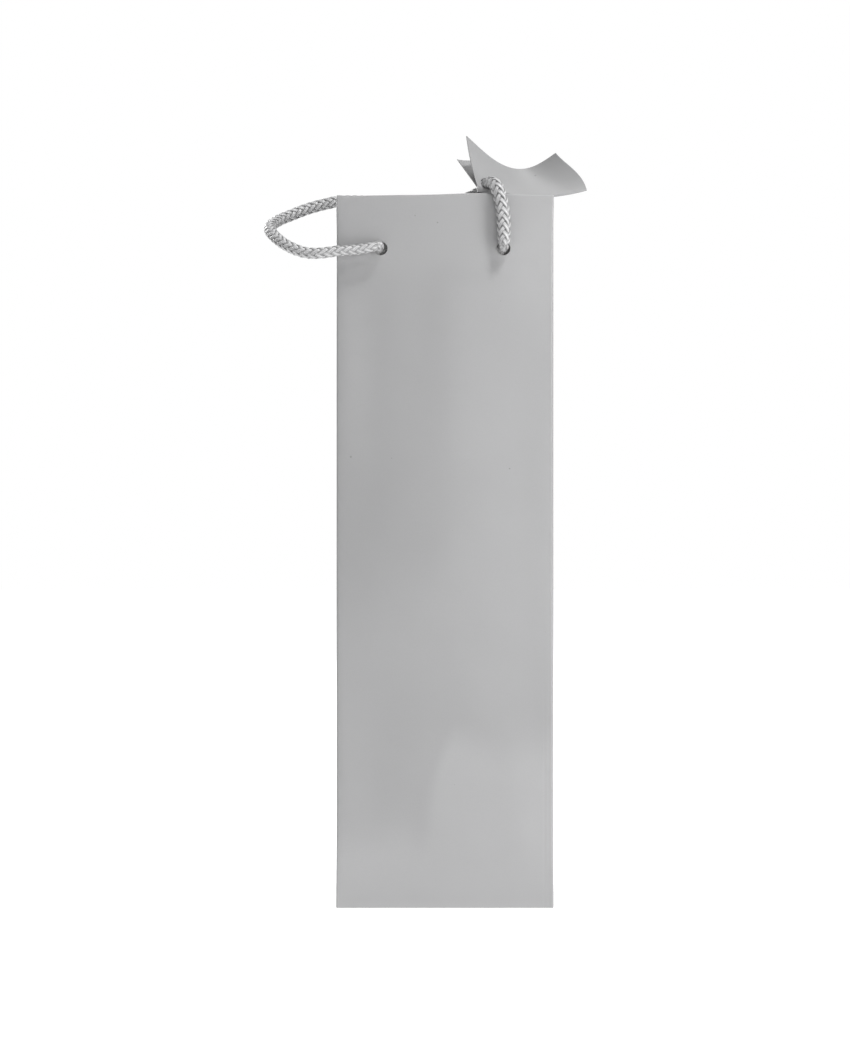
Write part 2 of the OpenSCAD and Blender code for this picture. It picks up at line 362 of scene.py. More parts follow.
def new_material(name):
    material = bpy.data.materials.new(name)
    material.use_nodes = True
    tree = material.node_tree
    tree.nodes.clear()
    n = Nodes(tree)
    shader = n.add("ShaderNodeBsdfPrincipled")
    n.add("ShaderNodeOutputMaterial", {"Surface": shader.outputs[0]})
    return material, n, shader


def grain_group():
    """Paper or board surface: cloudy shade, fine grain, stray specks and a height."""
    tree = bpy.data.node_groups.new("paper_grain", "ShaderNodeTree")
    for name, value in (("Cloud Scale", 14.0), ("Grain Scale", 1400.0), ("Fibre Scale", 260.0),
                        ("Speck Scale", 85.0), ("Speck Size", 0.05)):
        group_input(tree, name, "NodeSocketFloat", value)
    for name in ("Cloud", "Grain", "Speck", "Height"):
        tree.interface.new_socket(name=name, in_out="OUTPUT", socket_type="NodeSocketFloat")
    n = Nodes(tree)
    given = n.add("NodeGroupInput").outputs
    place = n.add("ShaderNodeTexCoord").outputs["Object"]
    cloud = n.noise(place, given["Cloud Scale"], 3.0, 0.45)
    grain = n.noise(place, given["Grain Scale"], 2.0, 0.6)
    fibre = n.noise(place, given["Fibre Scale"], 4.0, 0.7)
    cells = n.add("ShaderNodeTexVoronoi", {"Vector": place, "Scale": given["Speck Scale"]},
                  feature="F1")
    chance = n.add("ShaderNodeSeparateColor", {"Color": cells.outputs["Color"]}).outputs[0]
    size = n.math("MULTIPLY", chance, given["Speck Size"])
    speck = n.math("LESS_THAN", cells.outputs["Distance"], size)
    height = n.math("ADD", n.math("MULTIPLY", grain, 0.5), n.math("MULTIPLY", fibre, 0.5))
    n.add("NodeGroupOutput", {"Cloud": cloud, "Grain": grain, "Speck": speck, "Height": height})
    return tree


def paper_material(name, colour, roughness, cloudiness, grain, height, coat=0.0, specks=0.35,
                   fold_wear_and_painted_light=0.0, scales=None):
    """Paper or board of one colour, with its own grain, clouding, specks and worn folds; with worn
    folds it also gets painted light and shade from its tone attribute.
    """
    material, n, shader = new_material(name)
    surface = n.add("ShaderNodeGroup", node_tree=GRAIN)
    for key, value in (scales or {}).items():
        surface.inputs[key].default_value = value
    cloud, fine = surface.outputs["Cloud"], surface.outputs["Grain"]
    shade = n.math("ADD", n.remap(cloud, 0.3, 0.7, 1 - cloudiness, 1 + cloudiness),
                   n.remap(fine, 0.3, 0.7, -grain, grain))
    shade = n.math("MULTIPLY", shade, n.math("SUBTRACT", 1.0, n.math(
        "MULTIPLY", surface.outputs["Speck"], specks)))
    if fold_wear_and_painted_light:
        fold = n.add("ShaderNodeAttribute", attribute_name="crease").outputs["Fac"]
        shade = n.math("ADD", shade, n.math("MULTIPLY", fold, fold_wear_and_painted_light))
        # The tone attribute is painted light and shade: a painted reflection at the front's foot, a
        # painted highlight at its top right corner and painted shade on its left
        tone = n.add("ShaderNodeAttribute", attribute_name="tone").outputs["Fac"]
        shade = n.math("ADD", shade, tone)
    n.feed(shader.inputs["Base Color"], n.vector("SCALE", (*colour,), scale=shade))
    n.feed(shader.inputs["Roughness"],
           n.remap(cloud, 0.3, 0.7, roughness - 0.04, roughness + 0.05))
    shader.inputs["Specular IOR Level"].default_value = 0.45
    shader.inputs["Coat Weight"].default_value = coat
    shader.inputs["Coat Roughness"].default_value = 0.22
    raised = n.add("ShaderNodeBump", {"Height": surface.outputs["Height"], "Strength": 0.5,
                                      "Distance": height})
    n.feed(shader.inputs["Normal"], raised.outputs[0])
    return material


YARN = (0.54, 0.54, 0.545)
# Turn a strand's number into a chance tone
HASH_IN = 12.9898
HASH_OUT = 43.7585


def rope_material():
    """Off-white silky yarn: fine filaments along each strand, with painted shade where strands meet
    and on the core between them.
    """
    material, n, shader = new_material("silky_rope")
    uv = n.add("ShaderNodeUVMap", uv_map="UVMap").outputs[0]
    filaments = n.noise(n.vector("MULTIPLY", uv, (26.0, 300.0, 0.0)), 1.0, 2.0, 0.6)
    clumps = n.noise(n.vector("MULTIPLY", uv, (7.0, 90.0, 0.0)), 1.0, 1.0, 0.5)
    strand = n.add("ShaderNodeAttribute", attribute_name="strand").outputs["Fac"]
    mixed = n.math("SINE", n.math("MULTIPLY", strand, HASH_IN))
    tone = n.math("FRACT", n.math("MULTIPLY", mixed, HASH_OUT))
    around = n.add("ShaderNodeSeparateXYZ", {"Vector": uv}).outputs[0]
    # Painted shade: the yarn darkens towards each strand's edges, where strands meet, and all over
    # the core, which shows only in the gaps between strands
    edge = n.math("ABSOLUTE", n.math("SINE", n.math("MULTIPLY", around, math.tau)))
    edge = n.math("POWER", edge, 2.5)
    shade = n.math("ADD", n.remap(filaments, 0.3, 0.7, 0.86, 1.08),
                   n.remap(tone, 0.0, 1.0, -0.08, 0.05))
    core = n.add("ShaderNodeAttribute", attribute_name="core").outputs["Fac"]
    painted_gap_shade = n.math("MAXIMUM", n.math("MULTIPLY", edge, 0.6), n.math("MULTIPLY", core, 0.75))
    shade = n.math("MULTIPLY", shade, n.math("SUBTRACT", 1.0, painted_gap_shade))
    n.feed(shader.inputs["Base Color"], n.vector("SCALE", YARN, scale=shade))
    n.feed(shader.inputs["Roughness"], n.remap(clumps, 0.3, 0.7, 0.28, 0.42))
    shader.inputs["Specular IOR Level"].default_value = 0.65
    height = n.math("ADD", filaments, n.math("MULTIPLY", clumps, 0.6))
    raised = n.add("ShaderNodeBump", {"Height": height, "Strength": 0.8, "Distance": 0.06 * MM})
    n.feed(shader.inputs["Normal"], raised.outputs[0])
    return material


# Ropes and knots ----------------------------------------------------------------------------

def back_route():
    """Middle line of the back handle, which hangs in a loop from its holes."""
    middle_x = sum(HOLE_XS) / 2
    half = [(middle_x + x, SWING_Y, HOLE_Z + z) for x, z in BACK_HALF]
    other = [(middle_x - x, SWING_Y, HOLE_Z + z) for x, z in reversed(BACK_HALF)]
    return half + [(middle_x + BACK_LOW[0], SWING_Y, HOLE_Z + BACK_LOW[1])] + other


# An overhand knot behind each hole: how far round its curve runs, and its size each way
KNOT_TURN = 1.9
KNOT_STEPS = 26
KNOT_WIDE = 1.7 * MM
KNOT_TALL = 1.7 * MM
KNOT_DEEP = 0.27 * MM
KNOT_IN = 5.8 * MM
KNOT_DROP = 4.8 * MM


def knot_path(elbow, lead, x, pull, front):
    """From the bend outside the hole, through it, once round itself and down in a tail.

    lead is the way that the handle leaves the bend."""
    way = 1 if front else -1
    hem = -way * (HALF_D - FRONT_HEM_DEPTH)
    loop = []
    for k in range(KNOT_STEPS + 1):
        t = KNOT_TURN * (2 * k / KNOT_STEPS - 1)
        side = KNOT_WIDE * (t ** 3 - 3 * t)
        rise = KNOT_TALL * (t ** 4 - 4 * t ** 2)
        deep = KNOT_DEEP * (t ** 5 - 10 * t)
        loop.append(Vector((x + deep, hem + way * (KNOT_IN + side), HOLE_Z - KNOT_DROP - rise)))
    bend = Vector(elbow)
    first = [bend + lead * 1.3 * MM, bend + lead * 0.2 * MM + Vector((0, way * 0.9 * MM, 0)),
             Vector((x + pull[0], -way * (HALF_D + 1.5 * MM), HOLE_Z + pull[1])),
             Vector((x + pull[0], hem - way * 0.4 * MM, HOLE_Z + pull[1]))]
    tail = [Vector((x + 1.5 * MM, hem + way * 8 * MM, HOLE_Z - 13 * MM)),
            Vector((x + 1 * MM, hem + way * 8.5 * MM, HOLE_Z - 20 * MM))]
    return smooth_path(first + loop + tail)


def make_knots(material, back):
    """The four knots, by name."""
    knots = {}
    for name, elbow, lead, x, front in (
            ("front_left_knot", FRONT_LEFT_ELBOW, (-1, 0, 0), HOLE_XS[0], True),
            ("front_right_knot", FRONT_RIGHT_ELBOW, (0, 0, 1), HOLE_XS[1], True),
            ("back_left_knot", back[0], (0, 0, -1), HOLE_XS[0], False),
            ("back_right_knot", back[-1], (0, 0, -1), HOLE_XS[1], False)):
        path = knot_path(elbow, Vector(lead), x, HOLE_PULL[name], front)
        piece = braid("braided_" + name, path, material, KNOT_GIRTHS)
        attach(piece, "bag")
        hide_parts(name)
        knots[name] = piece
    return knots


def make_ropes(material, tag):
    """Both handles as braided ropes, with their knots; the tag's leaves only join a list of the
    front rope's ends.
    """
    back = back_route()
    knots = make_knots(material, back)
    for name, route, girths, body in (("front", FRONT_ROUTE, FRONT_GIRTHS, "front_handle"),
                                      ("back", back, BACK_GIRTHS, "back_handle")):
        path = smooth_path(route)
        rope = braid(name + "_rope_handle", path, material, girths)
        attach(rope, body)
        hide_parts(name + "_handle_rope")
        ends = [knots[name + "_left_knot"], knots[name + "_right_knot"]]
        if name == "front":
            ends += [tag["front"], tag["back"]]


# Tag ----------------------------------------------------------------------------------------

TAG_H = 30 * MM
CARD = 0.4 * MM
FOLD_START = Vector((0.0167, -0.039, 0.3646))
FOLD_RUN = (0.0558, 0.005)
FOLD_SAG = 4 * MM
FOLD_GAP = 1.1 * MM
# How each leaf leans at the fold's left end, middle and right end
FRONT_LEAN = [Vector((-5.6, 9.5, 27.9)), Vector((-6.4, 23, 18.1)), Vector((-15.1, 15.1, 21.1))]
BACK_LEAN = [Vector((-10.3, 22.2, 17.4)), Vector((-7, 27.5, 9.7)), Vector((-13, 23, 14.2))]
TAG_HOLE_AT = Vector((0.0215, -0.0362, 0.367))
TAG_HOLE_DIR = Vector((0.33, -0.91, 0.25))
TAG_HOLE_R = 3.5 * MM
# The side edges bow outward, and the back leaf's left corner stands up
LEFT_BOW = Vector((-0.6, 0, -0.2)) * MM
RIGHT_BOW = Vector((1.2, -0.6, 0.9)) * MM
BACK_CORNER = Vector((0.6, -3.0, 4.2))
# The front leaf's curl is deepest left of its middle, and its fold hangs low at the left
CURL_SHIFT = 0.28
LOW_FOLD = 2.2 * MM
# How far from the fold each leaf's straight part starts, and how far down the bend is pulled
LEAF_START = 0.7 * MM
BEND_PULL = 0.75 * MM
TAG_COLUMNS = 56
TAG_ROWS = 22
BEND_ROWS = 6


def fold_point(u):
    """Point of the sagging fold, from 0 at its left end to 1 at its right."""
    sag = 4 * FOLD_SAG * u * (1 - u)
    return FOLD_START + Vector((FOLD_RUN[0] * u, FOLD_RUN[1] * u, -sag))


def lean_at(lean, u):
    """Direction of a leaf at one place along the fold."""
    mix = (lean[0] * (1 - u) * (1 - 2 * u) + lean[1] * 4 * u * (1 - u)
           + lean[2] * u * (2 * u - 1))
    return mix.normalized()


def bend_points(near, far, up, back, pull):
    """Round of the fold between the starts of the two leaves."""
    down = Vector((0, 0, -1)) * pull
    p0, p1 = near + up * LEAF_START, near + down
    p2, p3 = far + down, far + back * LEAF_START
    return [(1 - t) ** 3 * p0 + 3 * (1 - t) ** 2 * t * p1 + 3 * (1 - t) * t * t * p2 + t ** 3 * p3
            for t in [k / BEND_ROWS for k in range(BEND_ROWS + 1)]]


def tag_lines(u):
    """Middle line of the card across the fold at one place along it: front part, back part."""
    near, far = fold_point(u), fold_point(u) + Vector((0, FOLD_GAP, 0))
    up, back = lean_at(FRONT_LEAN, u + CURL_SHIFT * u * (1 - u)), lean_at(BACK_LEAN, u)
    back = (back * 30 + BACK_CORNER * math.exp(-((u - 0.13) / 0.1) ** 2)).normalized()
    pull = BEND_PULL + LOW_FOLD * (1 - fade(u, 0.08, 0.45))
    left, right = LEFT_BOW * max(0, 1 - 4 * u) ** 2, RIGHT_BOW * max(0, 4 * u - 3) ** 2
    front = []
    for k in range(TAG_ROWS, 0, -1):
        v = k / TAG_ROWS
        bow = left * 4 * v * (1 - v) + right * 6.75 * v * (1 - v) ** 2
        front.append(near + up * (LEAF_START + (TAG_H - LEAF_START) * v) + bow)
    front += bend_points(near, far, up, back, pull)
    rear = [far + back * (LEAF_START + (TAG_H - LEAF_START) * k / TAG_ROWS)
            for k in range(TAG_ROWS + 1)]
    return front, rear


def card_mesh(name, grid, thickness):
    """Closed thin sheet about a grid of points."""
    rows, cols = len(grid), len(grid[0])
    mesh = bmesh.new()
    skins = []
    for side in (1, -1):
        skin = []
        for i in range(rows):
            line = []
            for j in range(cols):
                du = grid[min(i + 1, rows - 1)][j] - grid[max(i - 1, 0)][j]
                dv = grid[i][min(j + 1, cols - 1)] - grid[i][max(j - 1, 0)]
                face = du.cross(dv).normalized()
                line.append(mesh.verts.new(grid[i][j] + face * side * thickness / 2))
            skin.append(line)
        skins.append(skin)
    close_skins(mesh, *skins)
    return finish_mesh(name, mesh)


def close_skins(mesh, outer, inner, outer_slot=0, inner_slot=0):
    """Faces of two matching skins of vertices and of the rim that joins them."""
    rows, cols = len(outer), len(outer[0])
    for i in range(rows - 1):
        for j in range(cols - 1):
            mesh.faces.new((outer[i][j], outer[i + 1][j], outer[i + 1][j + 1],
                            outer[i][j + 1])).material_index = outer_slot
            mesh.faces.new((inner[i][j], inner[i][j + 1], inner[i + 1][j + 1],
                            inner[i + 1][j])).material_index = inner_slot
    rim = [(i, 0) for i in range(rows - 1)] + [(rows - 1, j) for j in range(cols - 1)]
    rim += [(i, cols - 1) for i in range(rows - 1, 0, -1)]
    rim += [(0, j) for j in range(cols - 1, 0, -1)]
    for (i, j), (k, m) in zip(rim, rim[1:] + rim[:1]):
        face = mesh.faces.new((outer[i][j], inner[i][j], inner[k][m], outer[k][m]))
        face.material_index = inner_slot


SHARP = math.radians(35)


def finish_mesh(name, mesh, materials=()):
    """Object from a bmesh, with outward faces, smooth shading and sharp rims."""
    bmesh.ops.recalc_face_normals(mesh, faces=mesh.faces)
    data = bpy.data.meshes.new(name)
    mesh.to_mesh(data)
    mesh.free()
    for material in materials:
        data.materials.append(material)
    data.shade_smooth()
    data.set_sharp_from_angle(angle=SHARP)
    piece = bpy.data.objects.new(name, data)
    bpy.context.scene.collection.objects.link(piece)
    return piece


def cut_round(piece, places, direction, radius, reach):
    """Cuts round holes through a piece."""
    cutter = bmesh.new()
    turn = Vector((0, 0, 1)).rotation_difference(Vector(direction)).to_matrix().to_4x4()
    for place in places:
        bmesh.ops.create_cone(cutter, cap_ends=True, segments=40, radius1=radius, radius2=radius,
                              depth=2 * reach, matrix=Matrix.Translation(place) @ turn)
    tool = finish_mesh("cutter", cutter)
    change = piece.modifiers.new("holes", "BOOLEAN")
    change.object = tool
    change.solver = "EXACT"
    change.operation = "DIFFERENCE"
    bpy.context.view_layer.update()
    shape = piece.evaluated_get(bpy.context.evaluated_depsgraph_get())
    data = bpy.data.meshes.new_from_object(shape)
    piece.modifiers.clear()
    piece.data = data
    bpy.data.objects.remove(tool)
    data.set_sharp_from_angle(angle=SHARP)


def make_tag(material):
    """Folded card: the front leaf carries the bend, and the back leaf starts from it."""
    front, back = [], []
    for k in range(TAG_COLUMNS + 1):
        a, b = tag_lines(k / TAG_COLUMNS)
        front.append(a)
        back.append(b)
    made = {}
    for name, grid in (("front", front), ("back", back)):
        leaf = card_mesh("tag_card_" + name, grid, CARD)
        leaf.data.materials.append(material)
        cut_round(leaf, [TAG_HOLE_AT], TAG_HOLE_DIR, TAG_HOLE_R, 9 * MM)
        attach(leaf, "tag_" + name)
        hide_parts("tag_" + name + "_leaf")
        made[name] = leaf
    return made


# Paper walls --------------------------------------------------------------------------------

# Each wall: direction along it, direction out of it, half its width, its distance from the middle
WALLS = {
    "front": (Vector((1, 0, 0)), Vector((0, -1, 0)), HALF_W, HALF_D),
    "right": (Vector((0, 1, 0)), Vector((1, 0, 0)), HALF_D, HALF_W),
    "back": (Vector((-1, 0, 0)), Vector((0, 1, 0)), HALF_W, HALF_D),
    "left": (Vector((0, -1, 0)), Vector((-1, 0, 0)), HALF_D, HALF_W),
}
COLUMN = 2 * MM
EDGE_COLUMN = 0.7 * MM
EDGE_COLUMNS = 9
ROW = 2.5 * MM
ROLL = 0.28 * MM
ROLL_REACH = 6 * MM
CREASE_IN = 1.5 * MM
# Knocks near the front's right edge: place across and up, half width and height, how far out
EDGE_KNOCKS = (
    (HALF_W - 4 * MM, 0.309, 2.5 * MM, 4 * MM, -0.25 * MM),
    (HALF_W - 9 * MM, 0.300, 4 * MM, 3 * MM, 0.2 * MM),
    (HALF_W - 7 * MM, 0.326, 5 * MM, 7 * MM, 0.3 * MM),
    (HALF_W - 4.5 * MM, 0.067, 2.5 * MM, 3 * MM, -0.25 * MM),
    (HALF_W - 9 * MM, 0.061, 4 * MM, 3 * MM, 0.2 * MM),
)
BULGE = {"front": 2.2 * MM, "back": 1.1 * MM}
SEEDS = {"front": 77.7, "right": 17.4, "back": 31.7, "left": 46.2}
SLOW_WAVE = 1.8 * MM
QUICK_WAVE = 0.25 * MM
FOOT_CREASE_Z = 45 * MM
BACK_CREASE_Z = 52 * MM
BACK_CREASE_IN = 0.45 * MM
# The rope drags the paper up from an arc under the left hole, which rises to the left edge
ARC_DROP = 15 * MM
ARC_RISE = 8 * MM
ARC_OUT = 0.25 * MM
# Pulls at the right hole: place from the hole, half width and height, how far out
HOLE_PULLS = (
    (-2.5 * MM, -8.5 * MM, 3.5 * MM, 3 * MM, 0.45 * MM),
    (-7 * MM, 8 * MM, 5 * MM, 16 * MM, -0.3 * MM),
)
# Double crease up the right edge, from the foot
FOOT_LINES = (2.6 * MM, 4.6 * MM)
FOOT_LINE_IN = 0.14 * MM
CRUMPLE_IN = 0.55 * MM
# How much the front's mouth stands up at the right leg of the rope and sinks at the left
MOUTH_UP = 0.9 * MM
MOUTH_DOWN = 0.35 * MM
# Painted light and shade on the front's coated paper: a painted reflection at its foot, a painted
# highlight at its top right corner and painted shade on its left side
FOOT_PAINTED_REFLECTION = 0.12
CORNER_PAINTED_HIGHLIGHT = 0.12
LEFT_PAINTED_SHADE = -0.05


def fade(value, low, high):
    """0 below low, 1 above high, smooth between."""
    t = min(1, max(0, (value - low) / (high - low)))
    return t * t * (3 - 2 * t)


def hill(x, z, at_x, at_z, wide, high):
    """Round hill of height 1."""
    return math.exp(-((x - at_x) / wide) ** 2 - ((z - at_z) / high) ** 2)


def gusset_crease(t, z, half):
    """How far in a gusset's pre-creased middle stands, with the two creases to its feet."""
    across = 1 - abs(t) / half
    up = z / FOOT_CREASE_Z
    soft = 0.05
    lower = 0.5 * (across + up - math.sqrt((across - up) ** 2 + soft ** 2))
    return -CREASE_IN * max(0, lower)


def relief(side, t, z):
    """How far the paper stands out of its flat wall."""
    half = WALLS[side][2]
    inside = fade(half - abs(t), 1 * MM, 22 * MM)
    below_hem = 1 - 0.75 * fade(z, HEM_Z - 10 * MM, HEM_Z + 8 * MM)
    free = fade(z, 4 * MM, 40 * MM) * below_hem
    bulged = fade(z, 0, 200 * MM) * below_hem
    slow = noise.noise(Vector((t * 14, z * 7, SEEDS[side])))
    quick = noise.noise(Vector((t * 45, z * 26, SEEDS[side] + 5)))
    out = (SLOW_WAVE * slow + QUICK_WAVE * quick) * inside * free
    out += BULGE.get(side, 0) * (1 - (t / half) ** 2) * bulged
    if side in ("left", "right"):
        out += gusset_crease(t, z, half)
    if side == "back":
        line = abs(z - BACK_CREASE_Z)
        out -= BACK_CREASE_IN * inside * max(0, 1 - line / (22 * MM)) ** 1.5
    if side == "front":
        out += front_marks(t, z)
    return out


def rope_pulls(x, z):
    """How the rope at its two holes pulls the front's paper."""
    left, right = HOLE_XS
    arc = HOLE_Z - ARC_DROP + ARC_RISE * max(0, (x + HALF_W) / (HALF_W + left)) ** 2
    near = fade(-x, -left - 2 * MM, -left + 6 * MM) * fade(HALF_W + x, 0, 5 * MM)
    out = ARC_OUT * near * (hill(0, z, 0, arc + 5 * MM, 1, 4.5 * MM)
                            - 0.8 * hill(0, z, 0, arc - 3 * MM, 1, 4 * MM))
    for at_x, at_z, wide, high, depth in HOLE_PULLS:
        out += depth * hill(x, z, right + at_x, HOLE_Z + at_z, wide, high)
    return out


def front_marks(x, z):
    """Pulls at the rope holes, knocks along the right edge and crumples near the foot."""
    out = rope_pulls(x, z)
    for at_x, at_z, wide, high, depth in EDGE_KNOCKS:
        out += depth * hill(x, z, at_x, at_z, wide, high)
    low = 1 - fade(z, 100 * MM, 125 * MM)
    for line in FOOT_LINES:
        out -= FOOT_LINE_IN * low * math.exp(-((x - HALF_W + line) / (0.6 * MM)) ** 2)
    foot = (fade(z, 3 * MM, 25 * MM) * (1 - fade(z, 90 * MM, 170 * MM))
            * fade(HALF_W - abs(x), 1 * MM, 9 * MM))
    crumple = noise.noise(Vector((x * 30 + z * 9, z * 21, 12.3)))
    return out - CRUMPLE_IN * foot * abs(crumple)


def mouth_shift(side, t):
    """The mouth's edge isn't quite level: the rope lifts it a little at the front."""
    if side != "front":
        return 0
    lift = MOUTH_UP * hill(t, 0, 17 * MM, 0, 20 * MM, 1) - MOUTH_DOWN * fade(-t, 20 * MM, 52 * MM)
    return lift * fade(HALF_W - abs(t), 0, 8 * MM)


def wall_point(side, t, z, depth):
    """A point of the wall at a distance along it, a height and a depth under its outer face."""
    along, out, half, away = WALLS[side]
    flat = half - CORNER_R
    sign = 1 if t > 0 else -1
    if abs(t) <= flat:
        place = along * t + out * (away - depth)
        to_edge = half - abs(t)
    else:
        angle = (abs(t) - flat) / CORNER_R
        radius = CORNER_R - depth
        place = (along * sign * (flat + radius * math.sin(angle))
                 + out * (away - CORNER_R + radius * math.cos(angle)))
        to_edge = CORNER_R * (1 - angle / (math.pi / 4)) * 0.5
    held = fade(z, 3 * MM, 30 * MM) * (1 - fade(z, MOUTH_Z - 16 * MM, MOUTH_Z - 2 * MM))
    roll = ROLL * held * max(0, 1 - to_edge / ROLL_REACH) ** 2
    place = place - out * roll - along * sign * roll + out * relief(side, t, z)
    top = fade(z, MOUTH_Z - 30 * MM, MOUTH_Z)
    place.z = z + mouth_shift(side, t) * top
    return place


def wear(side, t, z):
    """How worn the paper is: along its folded edges and creases."""
    half = WALLS[side][2]
    edge = max(0, 1 - (half - abs(t)) / (1.2 * MM))
    rim = max(0, 1 - (MOUTH_Z - z) / (1.2 * MM))
    foot = max(0, 1 - z / (1.5 * MM))
    line = 0
    if side in ("left", "right"):
        away = abs(t) if z > FOOT_CREASE_Z else abs(abs(t) - half * (1 - z / FOOT_CREASE_Z))
        line = max(0, 1 - away / (2.2 * MM))
    if side == "back":
        line = max(0, 1 - abs(z - BACK_CREASE_Z) / (2.2 * MM))
    return min(1, max(edge, rim, foot, line))


def painted_reflection_and_shade(side, t, z):
    """How much lighter or darker the coated paper is painted here: painted reflection at the front's
    foot, painted highlight at its top right, painted shade on its left.
    """
    if side != "front":
        return 0
    warp = noise.noise(Vector((t * 30, z * 18, 5.5)))
    edge = (32 + 52 * fade(t, -14 * MM, 6 * MM) + 26 * warp) * MM
    foot = 1 - fade(z, edge - 15 * MM, edge + 15 * MM)
    corner = hill(t, z, HALF_W - 10 * MM, HOLE_Z - 2 * MM, 13 * MM, 32 * MM)
    left = hill(t, z, -HALF_W + 10 * MM, 200 * MM, 16 * MM, 60 * MM)
    return FOOT_PAINTED_REFLECTION * foot + CORNER_PAINTED_HIGHLIGHT * corner + LEFT_PAINTED_SHADE * left


def columns(start, end):
    """Places along a wall between two ends, closer together near the ends."""
    count = max(2, 2 * round((end - start) / COLUMN / 2))
    inner = [start + (end - start) * k / count for k in range(count + 1)]
    close = [EDGE_COLUMN * k for k in range(1, EDGE_COLUMNS + 1)]
    reach = close[-1] + EDGE_COLUMN / 2
    kept = [t for t in inner if start + reach < t < end - reach]
    return [start] + [start + c for c in close] + kept + [end - c for c in reversed(close)] + [end]


def wall_columns(side):
    """Places along the whole wall, with its share of the rounded corners."""
    flat = WALLS[side][2] - CORNER_R
    arc = [flat + CORNER_R * math.pi / 4 * k / 3 for k in (1, 2, 3)]
    return [-a for a in reversed(arc)] + columns(-flat, flat) + arc


def heights(low, high):
    """Heights of the rows between two levels."""
    count = max(1, round((high - low) / ROW))
    return [low + (high - low) * k / count for k in range(count + 1)]


def wall_piece(name, side, places, layers, materials, replaces, holes=False):
    """Closed paper or board layer. layers lists (outer depth, outer z, inner depth, inner z)."""
    mesh = bmesh.new()
    worn = mesh.verts.layers.float.new("crease")
    # The tone layer holds painted light and shade for each vertex: a painted reflection at the
    # front's foot, a painted highlight at its top right corner, painted shade on its left
    tone = mesh.verts.layers.float.new("tone")
    skins = ([], [])
    for t in places:
        lines = ([], [])
        for outer_depth, outer_z, inner_depth, inner_z in layers:
            for line, depth, z in ((lines[0], outer_depth, outer_z),
                                   (lines[1], inner_depth, inner_z)):
                vert = mesh.verts.new(wall_point(side, t, z, depth))
                vert[worn] = wear(side, t, z)
                vert[tone] = painted_reflection_and_shade(side, t, z)
                line.append(vert)
        skins[0].append(lines[0])
        skins[1].append(lines[1])
    close_skins(mesh, skins[0], skins[1], 0, len(materials) - 1)
    piece = finish_mesh(name, mesh, materials)
    if holes:
        y = -HALF_D if side == "front" else HALF_D
        cut_round(piece, [Vector((x, y, HOLE_Z)) for x in HOLE_XS], (0, 1, 0), HOLE_R, 5 * MM)
    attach(piece, "bag")
    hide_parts(*replaces)
    return piece


def mouth_arc(total, start, end):
    """Layers round the turned-over edge of the mouth, from one angle to another."""
    radius = total / 2
    inner = radius - PAPER
    made = []
    for k in range(5):
        angle = math.radians(start + (end - start) * k / 4)
        c, s = math.cos(angle), math.sin(angle)
        made.append((radius - radius * c, MOUTH_Z - radius + radius * s,
                     radius - inner * c, MOUTH_Z - radius + inner * s))
    return made


def make_walls(paper, inside, board):
    """Panels, gussets, turned-in hems, reinforcement boards and the glued side seam."""
    side_total = SIDE_HEM_DEPTH + 0.1 * MM
    for side, node in (("front", "front_panel"), ("right", "right_gusset"),
                       ("back", "back_panel"), ("left", "left_gusset")):
        wide = side in ("front", "back")
        total = FRONT_HEM_DEPTH if wide else side_total
        arc_z = MOUTH_Z - total / 2
        outer = [(0, z, PAPER, z) for z in heights(0, arc_z)[:-1]] + mouth_arc(total, 0, 90)
        wall_piece("paper_" + node, side, wall_columns(side), outer, (paper, inside),
                   [node], holes=wide)
        turned = mouth_arc(total, 90, 180)
        turned += [(total, z, total - PAPER, z) for z in reversed(heights(HEM_Z, arc_z)[:-1])]
        reach = WALLS[side][2] - CORNER_R
        wall_piece("turned_" + side + "_hem", side, columns(-reach, reach), turned,
                   (paper, inside), [side + "_hem"], holes=wide)
    low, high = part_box("front_reinforcement")
    stiff = [(PAPER, z, FRONT_HEM_DEPTH - PAPER, z)
             for z in heights(low.z, MOUTH_Z - FRONT_HEM_DEPTH / 2)]
    for side in ("front", "back"):
        wall_piece("stiff_" + side + "_board", side, columns(low.x, high.x), stiff, (board,),
                   [side + "_reinforcement"], holes=True)
    low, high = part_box("side_seam_flap")
    seam = [(PAPER, z, 2 * PAPER, z) for z in heights(low.z, high.z)]
    wall_piece("glued_side_seam", "back", columns(-high.x, -low.x), seam, (inside,),
               ["side_seam_flap"])


def finish_cad_nodes(paper, inside, board):
    """The bottom's flat flaps and the loose board keep their shape and get real finishes."""
    for node, material in (("base_front_flap", paper), ("base_back_flap", paper),
                           ("base_left_tuck", inside), ("base_right_tuck", inside),
                           ("base_board", board)):
        data = frame["nodes"][node].data
        data.materials.clear()
        data.materials.append(material)


# Floor and light ----------------------------------------------------------------------------

# Strength of the room's and the table's own light on the bag, and as the camera sees them
ROOM = 0.4
ROOM_SEEN = 1.0
TABLE_GLOW = 0.3
TABLE_SEEN = 0.66
TABLE_REACH = 6
# Each lamp: name, place, what it is aimed at, its width and height, and its power
LAMPS = (
    ("key", (0.75, -0.62, 0.46), (0, 0, MOUTH_Z * 0.6), 0.35, 0.35, 2.8),
    ("back_fill", (-0.9, 1.5, 0.9), (0, 0, MOUTH_Z * 0.6), 0.8, 0.8, 17),
    ("overhead", (0.1, 0.25, 1.5), (0, 0, MOUTH_Z), 0.5, 0.5, 2.5),
    ("high_key", (0.84, -1.17, 2.96), (0, -HALF_D, MOUTH_Z), 0.5, 0.5, 58),
    ("low_fill", (0.65, -0.5, 0.07), (0, 0, 0.04), 0.3, 0.1, 1.0),
    ("tall_softbox", (0.28, -1.6, 0.5), (0.02, 0, 0.2), 0.62, 1.1, 3.2),
)


